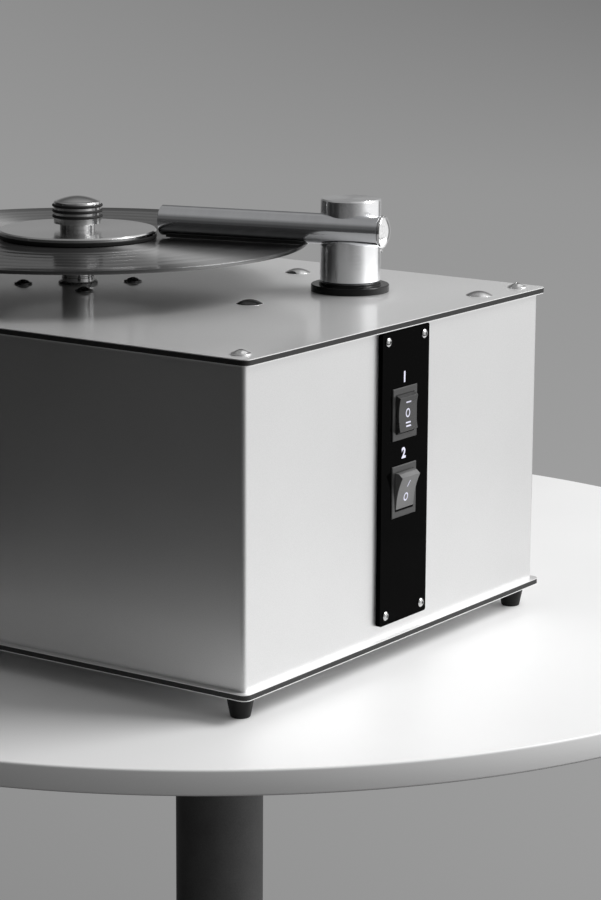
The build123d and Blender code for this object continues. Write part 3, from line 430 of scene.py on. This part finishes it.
def make_gloss_black():
    """Polished black acrylic with dust specks and hair-fine rub marks."""
    made = material("gloss_black", 0.002, 0.06, IOR=1.05)
    rub = made.noise(30.0, 4.0, (1.0, 6.0, 1.0))
    dust = made.noise(2600.0, 1.0) > 0.73
    tone = made.ramp(dust, [(0.0, 0.0012), (1.0, 0.008)])
    return shade(made, tone, 0.05 + 0.06 * rub + 0.2 * dust, rub, 0.002, 0.1)


def make_vinyl():
    """Pressed record: fine grooves round the middle, cut in bands with smooth gaps."""
    made = material("record_vinyl", 0.004, 0.60, Anisotropic=1.0, Anisotropic_Rotation=0.25, IOR=1.85,
                    Coat_Weight=0.5, Coat_Roughness=0.08)
    middle = place(*SPINDLE, 0)
    radius = made.from_axis(middle.x, middle.y)
    groove = made.add("ShaderNodeTexNoise", {"noise_dimensions": "1D"}, {"W": radius, "Scale": 1400.0, "Detail": 3.0})
    bands = made.add("ShaderNodeTexNoise", {"noise_dimensions": "1D"}, {"W": radius, "Scale": 130.0, "Detail": 3.0})
    tone = made.ramp(bands, [(0.35, 0.002), (0.65, 0.006)])
    rough = 0.55 + 0.06 * bands + 0.06 * groove
    return shade(made, tone, rough, groove, 0.006, 0.3)


def make_velvet():
    """Short dense pile that lies a little uneven."""
    made = material("velvet_pile", 0.010, 0.95, Sheen_Weight=0.6, Sheen_Roughness=0.4)
    pile = made.noise(2500.0, 2.0)
    brushed = made.noise(120.0, 3.0)
    tone = made.ramp(0.5 * pile + 0.5 * brushed, [(0.35, 0.006), (0.7, 0.022)])
    return shade(made, tone, None, pile, 0.15, 0.8)


gloss_black = make_gloss_black()
record_vinyl = make_vinyl()
velvet = make_velvet()


# ---------------------------------------------------------------- nodes that keep their shape

KEPT = {
    plate_core: "base_plate_core top_plate_core",
    plate_skin: "base_plate_skins top_plate_skins",
    wall_metal: "case_wrap rear_panel",
    bar_metal: "corner_bars",
    bright_screw: "tank_screws arm_guide_screw corner_screws",
    small_screw: "rear_panel_screws rear_trim_screws switch_plate_screws foot_screws vacuum_mount_screws",
    dark_screw: "motor_screws",
    rubber_black: "rubber_feet motor_pad support_pad clamp_seal clamp_rings arm_seal_ring tank_seal"
                  " air_hose vacuum_mount_pad",
    gear_case: "gearbox",
    motor_paint: "platter_motor",
    steel: "output_shaft spindle_pin swivel_collar tank_spacers tank_nuts hose_clips",
    lathe_metal: "spindle_collar spindle_hub support_disc",
    clamp_metal: "clamp_disc clamp_knob",
    record_vinyl: "record",
    ring_black: "arm_base_ring",
    post_metal: "arm_post arm_end_cap",
    tube_metal: "arm_tube swivel_pipe",
    velvet: "velvet_strips",
    bronze: "swivel_bearing",
    tank_plastic: "waste_tank tank_lid",
    vacuum_metal: "vacuum_motor",
    fan_plastic: "fan_case",
    gloss_black: "switch_plate",
    switch_black: "switch_housings motor_rocker vacuum_rocker power_inlet drain_spigot drain_cap",
    grille_black: "exhaust_grille",
    board_green: "control_board",
    wire_black: "wiring",
}
for finish, nodes in KEPT.items():
    for node in nodes.split():
        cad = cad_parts[node]
        cad.data.materials.clear()
        cad.data.materials.append(finish)


# ---------------------------------------------------------------- record, support and clamp

def make_record():
    """Record with a raised rim and label, grooved bands and smooth gaps between the tracks."""
    top = []
    low = RECORD_TOP - 0.2
    for gap in (63.0, 78.0, 92.0, 107.0, 121.0, 134.0):
        top += [(gap - 0.8, low), (gap - 0.6, low - 0.015), (gap + 0.6, low - 0.015), (gap + 0.8, low)]
    upper = [(3.62, RECORD_TOP), (50.0, RECORD_TOP), (51.5, low)] + top
    upper += [(147.0, low), (148.5, RECORD_TOP), (150.0, RECORD_TOP), (150.5, RECORD_TOP - 0.6)]
    lower = [(radius, 2 * RECORD_TOP - 2.4 - height) for radius, height in reversed(upper)]
    piece = turned("record_disc", upper + lower + upper[:1], *SPINDLE, sides=256)
    soften(piece, 0.05, 1, 40.0)
    fit(piece, record_vinyl, "platter", "record")


def make_support():
    disc = turned("support_plate", [
        (3.6, 235.2), (48.2, 235.2), (49.0, 236.0), (49.0, 239.9), (48.7, 240.2), (3.6, 240.2), (3.6, 235.2),
    ], *SPINDLE)
    soften(disc, 0.15)
    fit(disc, lathe_metal, "platter", "support_disc")
    pad = turned("support_mat", [
        (8.0, 240.2), (49.0, 240.2), (49.0, 241.2), (8.0, 241.2), (8.0, 240.2),
    ], *SPINDLE)
    soften(pad, 0.2)
    fit(pad, rubber_black, "platter", "support_pad")
    hub = turned("spindle_column", [
        (0.0, 228.2), (3.57, 228.2), (3.57, 235.2), (11.0, 235.2), (11.0, 219.0), (10.7, 218.7),
        (10.7, 217.9), (11.0, 217.6), (11.0, 208.5), (4.02, 208.5), (4.02, 225.7), (0.0, 225.7),
    ], *SPINDLE, sides=96)
    soften(hub, 0.12)
    fit(hub, lathe_metal, "platter", "spindle_hub")
    collar = turned("spindle_collar_ring", [
        (11.35, 209.5), (12.0, 209.5), (12.0, 213.5), (12.9, 213.5), (12.9, 214.6), (12.4, 215.1),
        (11.35, 215.1), (11.35, 209.5),
    ], *SPINDLE, sides=96)
    soften(collar, 0.08)
    fit(collar, dark_screw, "base", "spindle_collar")


def make_clamp():
    seal = turned("clamp_mat", [
        (11.6, 243.6), (50.9, 243.6), (51.5, 244.2), (51.5, 246.1), (51.1, 246.5), (11.6, 246.5),
        (11.6, 243.6),
    ], *SPINDLE, sides=192)
    soften(seal, 0.15)
    fit(seal, rubber_black, "clamp", "clamp_seal")
    disc = turned("clamp_plate", [
        (3.63, 246.5), (51.5, 246.5), (51.5, 248.3), (50.6, 249.2), (3.63, 249.2), (3.63, 246.5),
    ], *SPINDLE, sides=192)
    soften(disc, 0.12)
    fit(disc, clamp_metal, "clamp", "clamp_disc")
    foot, shoulder, top = 253.0, 266.2, 270.7
    heights = [foot + 4.6 + 3.5 * i for i in range(3)]
    side = [(3.63, 249.2), (11.6, 249.2), (11.6, 252.0), (11.35, 252.2), (11.35, 252.6), (11.6, 252.8),
            (11.6, foot), (15.5, foot)]
    for height in heights:
        side += arc((15.6, height), 0.95, -96, -264, 8)
    side += [(15.5, shoulder)] + arc((14.2, shoulder), 1.3, 15, 75, 4)
    side += crown(14.0, shoulder + 1.3, top - shoulder - 1.3, 14, 1.9)
    side += [(0.0, 263.6), (3.63, 263.6), (3.63, 249.2)]
    knob = turned("clamp_grip", side, *SPINDLE, sides=128)
    soften(knob, 0.1, 2, 35.0)
    fit(knob, clamp_metal, "clamp", "clamp_knob")
    hoops = []
    for i, height in enumerate(heights):
        round_section = arc((15.6, height), 0.9, 0, 360, 14)
        hoops.append(turned(f"hoop{i}", round_section, *SPINDLE, sides=96))
    hoops = join(hoops)
    bpy.ops.object.shade_smooth()
    hoops.name = "clamp_grip_rings"
    fit(hoops, rubber_black, "clamp", "clamp_rings")


# ---------------------------------------------------------------- suction arm

def make_arm():
    ring = turned("arm_foot_ring", [
        (15.05, 213.5), (25.3, 213.5), (25.3, 217.6), (24.8, 218.1), (20.4, 218.1), (20.0, 218.5),
        (20.0, 219.5), (19.7, 219.8), (15.05, 219.8), (15.05, 213.5),
    ], *POST)
    soften(ring, 0.12)
    fit(ring, ring_black, "base", "arm_base_ring")
    post = turned("arm_column", [
        (0.0, 245.2), (11.06, 245.2), (11.06, 222.4), (17.3, 222.4), (17.3, 220.5), (POST_RADIUS - 0.3, 220.5),
        (POST_RADIUS, 220.8), (POST_RADIUS, 272.35), (POST_RADIUS - 0.9, 273.25), (0.0, 273.25),
    ], *POST, sides=192)
    bore = turned("tube_bore", [(0.0, -60.0), (TUBE_RADIUS + 0.02, -60.0), (TUBE_RADIUS + 0.02, 60.0), (0.0, 60.0)])
    cut(post, lay(bore, along_arm(0.0)))
    soften(post, 0.15, 2, 35.0)
    fit(post, post_metal, "arm", "arm_post")
    free, fixed, wall, edge = -125.4, 25.5, 1.5, 0.5
    tube = turned("suction_tube", [
        (0.0, free), (TUBE_RADIUS - edge, free), (TUBE_RADIUS, free + edge), (TUBE_RADIUS, fixed - edge),
        (TUBE_RADIUS - edge, fixed), (TUBE_RADIUS - wall, fixed), (TUBE_RADIUS - wall, free + 3.0),
        (0.0, free + 3.0),
    ])
    slot = block("slot_cutter", place(0, 0, -72.75) + Vector((9.0, 0, 0)) * mm, (8.0, 2.4, 96.5))
    cut(tube, slot)
    lay(tube, along_arm(0.0))
    soften(tube, 0.1, 2, 35.0)
    fit(tube, tube_metal, "arm", "arm_tube")
    cap = turned("tube_cap", [
        (0.0, 19.5), (8.38, 19.5), (8.38, fixed), (10.1, fixed), (10.4, 25.8), (10.4, 27.2), (10.1, 27.5),
    ] + crown(9.9, 27.5, 3.2, 14, 2.1), sides=96)
    lay(cap, along_arm(0.0))
    soften(cap, 0.08, 2, 40.0)
    fit(cap, bright_screw, "arm", "arm_end_cap")
    make_strips()
    screw = turned("arm_side_screw", [
        (0.0, 9.4), (2.0, 9.4), (2.0, 19.1), (4.0, 19.1), (4.0, 19.85),
    ] + crown(4.0, 19.9, 1.4, 8, 2.0), sides=48)
    socket = turned("socket_cutter", [(0.0, 20.3), (1.6, 20.3), (1.6, 22.5), (0.0, 22.5)], sides=6)
    cut(screw, socket)
    turn = Matrix.Translation(place(*POST, 241.5)) @ Matrix.Rotation(math.radians(38.0), 4, "Z")
    turn = turn @ Matrix.Rotation(math.pi / 2, 4, "Y") @ Matrix.Translation(-place(0, 0, 0))
    lay(screw, turn)
    soften(screw, 0.06)
    fit(screw, bright_screw, "arm", "arm_guide_screw")


def make_strips():
    """Two strips of pile that hug the tube on both sides of its slot."""
    strips = []
    for side in (-1, 1):
        strip = block(f"strip{side}", (0, 0, 0), (96.5, 3.7, 4.5))
        bpy.ops.mesh.subdivide(number_cuts=3)
        lay(strip, Matrix.Translation(Vector((-72.75, TUBE_SIDE + side * 3.15, 246.35)) * mm))
        strips.append(strip)
    piece = join(strips)
    piece.name = "suction_strips"
    lay(piece, Matrix.Translation(place(*POST, 0)) @ Matrix.Rotation(ARM_TURN, 4, "Z"))
    tool = turned("tube_cutter", [(0.0, -130.0), (TUBE_RADIUS, -130.0), (TUBE_RADIUS, 30.0), (0.0, 30.0)])
    cut(piece, lay(tool, along_arm(0.0)))
    soften(piece, 0.25, 2, 40.0)
    fit(piece, velvet, "arm", "velvet_strips")


# ---------------------------------------------------------------- screws and feet

def make_button_screw(name):
    """Flanged button-head screw with a hexagon socket, its head standing on Z = 0."""
    screw = turned(name, [
        (0.0, -18.0), (2.5, -18.0), (2.5, 0.0), (5.6, 0.0), (5.85, 0.25), (5.85, 0.8), (5.6, 1.0),
        (4.6, 1.1),
    ] + crown(4.5, 1.15, 1.75, 8, 2.2), sides=64)
    socket = turned("socket_cutter", [(0.0, 1.3), (1.6, 1.3), (1.6, 4.0), (0.0, 4.0)], sides=6)
    cut(screw, socket)
    soften(screw, 0.07, 2, 35.0)
    return screw


def make_screws():
    corner = make_button_screw("corner_button_screws")
    corner = repeat(corner, [Matrix.Translation(Vector((x, y, DECK)) * mm) for x, y in CORNERS])
    fit(corner, bright_screw, "base", "corner_screws")
    motor = make_button_screw("motor_button_screws")
    motor = repeat(motor, [Matrix.Translation(Vector((x, y, DECK)) * mm) for x, y in MOTOR_SCREWS])
    fit(motor, dark_screw, "base", "motor_screws")
    dome = turned("tank_dome_screws", [
        (0.0, -48.5), (4.0, -48.5), (4.0, 0.0), (8.5, 0.0),
    ] + crown(8.6, 0.12, 2.68, 12, 2.0), sides=96)
    soften(dome, 0.06, 2, 40.0)
    spots = []
    for angle in (23.5, 148.4, 255.5):
        turn = math.radians(angle)
        x = POST[0] + 84.0 * math.cos(turn)
        y = POST[1] + 84.0 * math.sin(turn)
        spots.append(Matrix.Translation(Vector((x, y, DECK)) * mm))
    dome = repeat(dome, spots)
    fit(dome, bright_screw, "base", "tank_screws")
    pan = turned("plate_pan_screws", [
        (0.0, -9.0), (1.5, -9.0), (1.5, 0.0), (2.75, 0.0), (2.85, 0.15), (2.85, 0.5),
    ] + crown(2.8, 0.6, 1.2, 8, 2.2), sides=48)
    socket = turned("socket_cutter", [(0.0, 0.8), (1.1, 0.8), (1.1, 4.0), (0.0, 4.0)], sides=6)
    cut(pan, socket)
    soften(pan, 0.05, 2, 35.0)
    pan = repeat(pan, [facing(place(SWITCH_FACE, y, z), (1, 0, 0)) for y in (-20, 20) for z in (32.6, 202.9)])
    fit(pan, small_screw, "base", "switch_plate_screws")
    foot = turned("tapered_feet", [
        (4.2, 6.0), (4.2, 0.0), (5.6, 0.0), (5.95, 0.4), (8.6, 13.4), (8.75, 14.0), (2.55, 14.0),
        (2.55, 6.0), (4.2, 6.0),
    ], sides=64)
    soften(foot, 0.3, 3, 40.0)
    foot = repeat(foot, [Matrix.Translation(Vector((x, y, 0)) * mm) for x, y in CORNERS])
    fit(foot, rubber_black, "base", "rubber_feet")


# ---------------------------------------------------------------- switches

def make_rocker(name, node, body, height, turn, finish, marks):
    """Rocker with sloping ends, round behind them, and a hollow front, tilted by turn degrees."""
    reach, rise, half, back = 12.0, 3.0, 10.4, 5.0
    pivot = place(ROCKER_PIVOT, SWITCH_SIDE, height)
    piece = start(name, "cylinder", pivot, vertices=128, radius=reach * mm, depth=19.8 * mm,
                  rotation=(math.pi / 2, 0, 0))
    bpy.ops.mesh.bisect(plane_co=pivot, plane_no=(1, 0, 0), clear_outer=True)
    bpy.ops.mesh.select_all(action="DESELECT")
    shape = bmesh.from_edit_mesh(piece.data)
    for edge in shape.edges:
        if all(corner.co.x > pivot.x - 0.01 * mm for corner in edge.verts):
            edge.select_set(True)
    bmesh.update_edit_mesh(piece.data)
    bpy.ops.mesh.edge_face_add()
    bpy.ops.mesh.extrude_region_move(TRANSFORM_OT_translate={"value": (rise * mm, 0, 0)})
    bpy.ops.transform.resize(value=(1, 1, half / reach), center_override=pivot)
    bpy.ops.mesh.select_all(action="SELECT")
    bpy.ops.mesh.bisect(plane_co=pivot - Vector((back, 0, 0)) * mm, plane_no=(-1, 0, 0), use_fill=True,
                        clear_outer=True)
    for i in range(1, 24):
        level = pivot + Vector((0, 0, half * (i / 12 - 1))) * mm
        bpy.ops.mesh.select_all(action="SELECT")
        bpy.ops.mesh.bisect(plane_co=level, plane_no=(0, 0, 1))
    front = pivot.x + rise * mm
    hollow(piece, front, pivot.z, half)
    bpy.ops.mesh.select_all(action="SELECT")
    bpy.ops.mesh.normals_make_consistent(inside=False)
    soften(piece, 0.3, 3, 22.0)
    tip(piece, pivot, turn)
    fit(piece, finish, body, node)
    for i, mark in enumerate(marks):
        drawn = make_mark(f"{name}_mark{i}", pivot, front, half, *mark)
        tip(drawn, pivot, turn)
        fit(drawn, print_white, body)


def hollow(piece, front, middle, half, lift=0.0):
    """Moves what lies on the front face back onto its hollow round."""
    shape = bmesh.from_edit_mesh(piece.data)
    for corner in shape.verts:
        away = (corner.co.z - middle) / mm
        if corner.co.x > front - 0.02 * mm and abs(away) < half + 0.01:
            corner.co.x -= (1.1 * (1 - (away / half) ** 2) - lift) * mm
    bmesh.update_edit_mesh(piece.data)


def tip(piece, pivot, turn):
    """Tilts the piece about the rocker's pivot."""
    there = Matrix.Translation(pivot)
    lay(piece, there @ Matrix.Rotation(math.radians(turn), 4, "Y") @ there.inverted())


def make_mark(name, pivot, front, half, kind, up, size):
    """A printed bar or ring that follows the rocker's hollow face."""
    spot = Vector((front, pivot.y, pivot.z + up * mm))
    if kind == "ring":
        wide, tall, thick = size
        piece = start(name, "circle", spot, vertices=40, radius=mm, rotation=(0, math.pi / 2, 0))
        bpy.ops.transform.resize(value=(1, wide / 2, tall / 2), center_override=spot)
        bpy.ops.mesh.extrude_edges_move(TRANSFORM_OT_translate={"value": (0, 0, 0)})
        shrink = (1, 1 - 2 * thick / wide, 1 - 2 * thick / tall)
        bpy.ops.transform.resize(value=shrink, center_override=spot)
    else:
        wide, tall, slant = size
        piece = start(name, "plane", spot, size=mm, rotation=(0, math.pi / 2, 0))
        bpy.ops.transform.resize(value=(1, wide, tall), center_override=spot)
        bpy.ops.mesh.subdivide(number_cuts=4)
        shape = bmesh.from_edit_mesh(piece.data)
        for corner in shape.verts:
            corner.co.y += slant * (corner.co.z - spot.z)
        bmesh.update_edit_mesh(piece.data)
    hollow(piece, front, pivot.z, half, 0.05)
    apply(piece, "SOLIDIFY", thickness=0.1 * mm, offset=0.0)
    bpy.ops.object.mode_set(mode="EDIT")
    bpy.ops.mesh.select_all(action="SELECT")
    bpy.ops.mesh.normals_make_consistent(inside=False)
    bpy.ops.object.mode_set(mode="OBJECT")
    return piece


def make_switches():
    make_rocker("motor_switch_rocker_cap", "motor_rocker", "motor_switch_rocker", MOTOR_SWITCH, 0.0,
                switch_black, [
        ("bar", 7.1, (5.4, 0.9, 0.0)),
        ("ring", 0.3, (4.8, 5.6, 0.85)),
        ("bar", -5.6, (5.4, 0.9, 0.0)),
        ("bar", -7.7, (5.4, 0.9, 0.0)),
    ])
    # The tilted vacuum rocker gets the lighter copy of the switch plastic: painted light on its face
    make_rocker("vacuum_switch_rocker_cap", "vacuum_rocker", "vacuum_switch_rocker", VACUUM_SWITCH, 13.0,
                switch_black_painted_lighter, [
        ("bar", 5.2, (0.8, 4.2, 0.3)),
        ("ring", -3.6, (4.8, 5.4, 0.85)),
    ])


def make_numbers():
    """A plain number above each switch, printed on the plate."""
    for number, height in (("1", 178.9), ("2", 131.6)):
        bpy.ops.object.select_all(action="DESELECT")
        bpy.ops.object.text_add(location=(0, 0, 0))
        text = bpy.context.object
        text.data.body = number
        text.data.size = 9.0 * mm
        text.data.align_x = "CENTER"
        text.data.align_y = "CENTER"
        text.data.extrude = 0.03 * mm
        text.data.offset = 0.34 * mm
        bpy.ops.object.convert(target="MESH")
        text = bpy.context.object
        text.name = f"switch_number_{number}"
        text.data.name = text.name
        spot = Matrix.Translation(place(SWITCH_FACE + 0.03, SWITCH_SIDE, height))
        upright = Matrix(((0, 0, 1, 0), (1, 0, 0, 0), (0, 1, 0, 0), (0, 0, 0, 1)))
        lay(text, spot @ upright)
        fit(text, print_white, "base")


make_record()
make_support()
make_clamp()
make_arm()
make_screws()
make_switches()
make_numbers()


# ---------------------------------------------------------------- camera

def make_camera():
    camera = bpy.data.objects.new("camera", bpy.data.cameras.new("camera"))
    bpy.context.scene.collection.objects.link(camera)
    right = Vector((0.82096557, 0.5709501, 0.0056139))
    up = Vector((-0.1244838, 0.1693816, 0.97765723))
    back = Vector((0.5572426, -0.80332176, 0.2101305))
    turn = Matrix((right, up, back)).transposed().to_4x4()
    camera.matrix_world = Matrix.Translation(place(1131.564, -1447.801, 502.135)) @ turn
    camera.data.sensor_fit = "VERTICAL"
    camera.data.sensor_height = 36.0
    camera.data.lens = 114.92
    bpy.context.scene.camera = camera


# ---------------------------------------------------------------- table, light and surroundings

def make_table():
    """The round pale table top that the machine stands on."""
    x, y = -8.9, 92.4
    edge = arc((413.2, -1.5), 1.5, 90, 0, 4) + [(414.7, -14.0)] + arc((413.2, -14.0), 1.5, 0, -90, 4)
    top = turned("table_top", [(0.0, 0.0), (200.0, 0.0)] + edge + [(0.0, -15.5)], x, y, 256)
    bpy.ops.object.mode_set(mode="OBJECT")
    bpy.ops.object.shade_smooth_by_angle(angle=math.radians(40))
    made = material("table_laminate", 0.78, 0.42)
    speck = made.noise(900.0, 2.0)
    cloud = made.noise(6.0, 3.0)
    tone = made.ramp(0.3 * speck + 0.7 * cloud, [(0.3, 0.78), (0.7, 0.81)])
    top.data.materials.append(shade(made, tone, 0.38 + 0.1 * cloud, speck, 0.01, 0.2))
    leg = turned("table_leg", [(0.0, -700.0), (30.5, -700.0), (30.5, -15.5), (0.0, -15.5)], -4.0, y, 96)
    bpy.ops.object.mode_set(mode="OBJECT")
    bpy.ops.object.shade_smooth_by_angle(angle=math.radians(40))
    leg.data.materials.append(moulded("table_leg_paint", 0.11, 0.6))


def make_surroundings():
    """Studio round the table: a bright side to the right and behind, a dark side to the left."""
    world = bpy.data.worlds.new("studio")
    bpy.context.scene.world = world
    made = Finish(world)
    view = made.add("ShaderNodeTexCoord", {}, {}, "Generated")
    round_about = made.add("ShaderNodeTexGradient", {"gradient_type": "RADIAL"}, {"Vector": view}, 1)
    split = made.add("ShaderNodeSeparateXYZ", {}, {"Vector": view}).socket.node
    up = Wire(made, split.outputs[2])

    def turn(degrees):
        return degrees / 360 + 0.5

    def share(low, high, first=0.0, last=1.0):
        """Runs from first to last while the direction climbs from low to high degrees."""
        stops = [(0.5 + 0.5 * math.sin(math.radians(angle)), value) for angle, value in ((low, first), (high, last))]
        return made.ramp(0.5 + 0.5 * up, stops)

    def between(part, first, second):
        return made.add("ShaderNodeMix", {"data_type": "RGBA"}, {0: part, 6: first, 7: second}, 2)

    low_walls = made.ramp(round_about, [
        (turn(-180), 0.03), (turn(-128), 0.01), (turn(-126), 0.28), (turn(-124), 0.01), (turn(-106), 0.04),
        (turn(-80), 0.07), (turn(-55), 0.14), (turn(-36), 0.28), (turn(-17), 0.42), (turn(0), 0.85),
        (turn(5), 1.0), (turn(72), 1.0), (turn(79), 0.20), (turn(90), 0.30), (turn(100), 0.50),
        (turn(128), 0.34), (turn(150), 0.25), (turn(170), 0.10),
    ])
    soft_screen = made.ramp(round_about, [
        (turn(-180), 0.03), (turn(-129), 0.015), (turn(-112), 0.08), (turn(-100), 0.11), (turn(-80), 0.09),
        (turn(-60), 0.06), (turn(-20), 0.40), (turn(0), 1.0), (turn(82), 1.0), (turn(104), 0.30),
        (turn(122), 0.13),
    ])
    overhead = made.ramp(round_about, [
        (turn(-180), 0.29), (turn(-60), 0.31), (turn(40), 0.55), (turn(96), 0.95), (turn(120), 0.42),
        (turn(150), 0.29),
    ])
    lit = between(share(9, 21), low_walls, soft_screen)
    lit = between(share(30, 52), lit, overhead)
    lit = between(share(-30, -18, 1.0, 0.0), lit, (0.03, 0.03, 0.03, 1.0))
    across = made.add("ShaderNodeVectorMath", {"operation": "DOT_PRODUCT"}, {0: view, 1: (0.82097, 0.57095, 0.0)}, 1)
    left = made.ramp(0.5 + 0.5 * up, [(0.31, 0.26), (0.38, 0.30), (0.44, 0.315), (0.475, 0.27)])
    right = made.ramp(0.5 + 0.5 * up, [(0.31, 0.32), (0.38, 0.35), (0.44, 0.30), (0.475, 0.19)])
    backdrop = made.add("ShaderNodeMix", {"data_type": "RGBA", "clamp_factor": True},
                        {0: 0.5 + 4.6 * across, 6: left, 7: right}, 2)
    seen = made.add("ShaderNodeLightPath", {}, {}, "Is Camera Ray")
    both = between(seen, lit, backdrop)
    made.join(made.tree.nodes["Background"].inputs["Color"], both)
    made.tree.nodes["Background"].inputs["Strength"].default_value = 1.0


def make_lamp(name, azimuth, elevation, distance, width, height, power, aim=(0, 0, 0.12)):
    lamp = bpy.data.objects.new(name, bpy.data.lights.new(name, "AREA"))
    bpy.context.scene.collection.objects.link(lamp)
    lamp.data.shape = "RECTANGLE"
    lamp.data.size = width
    lamp.data.size_y = height
    lamp.data.energy = power
    level, turn = math.radians(elevation), math.radians(azimuth)
    way = Vector((math.cos(level) * math.cos(turn), math.cos(level) * math.sin(turn), math.sin(level)))
    lamp.matrix_world = Matrix.Translation(Vector(aim) + way * distance) @ way.to_track_quat("Z", "Y").to_matrix().to_4x4()


make_camera()
make_table()
make_surroundings()
make_lamp("key_softbox", 36, 43, 2.6, 1.5, 1.1, 66.0)
bpy.context.scene.view_settings.view_transform = "Standard"

bpy.context.view_layer.update()
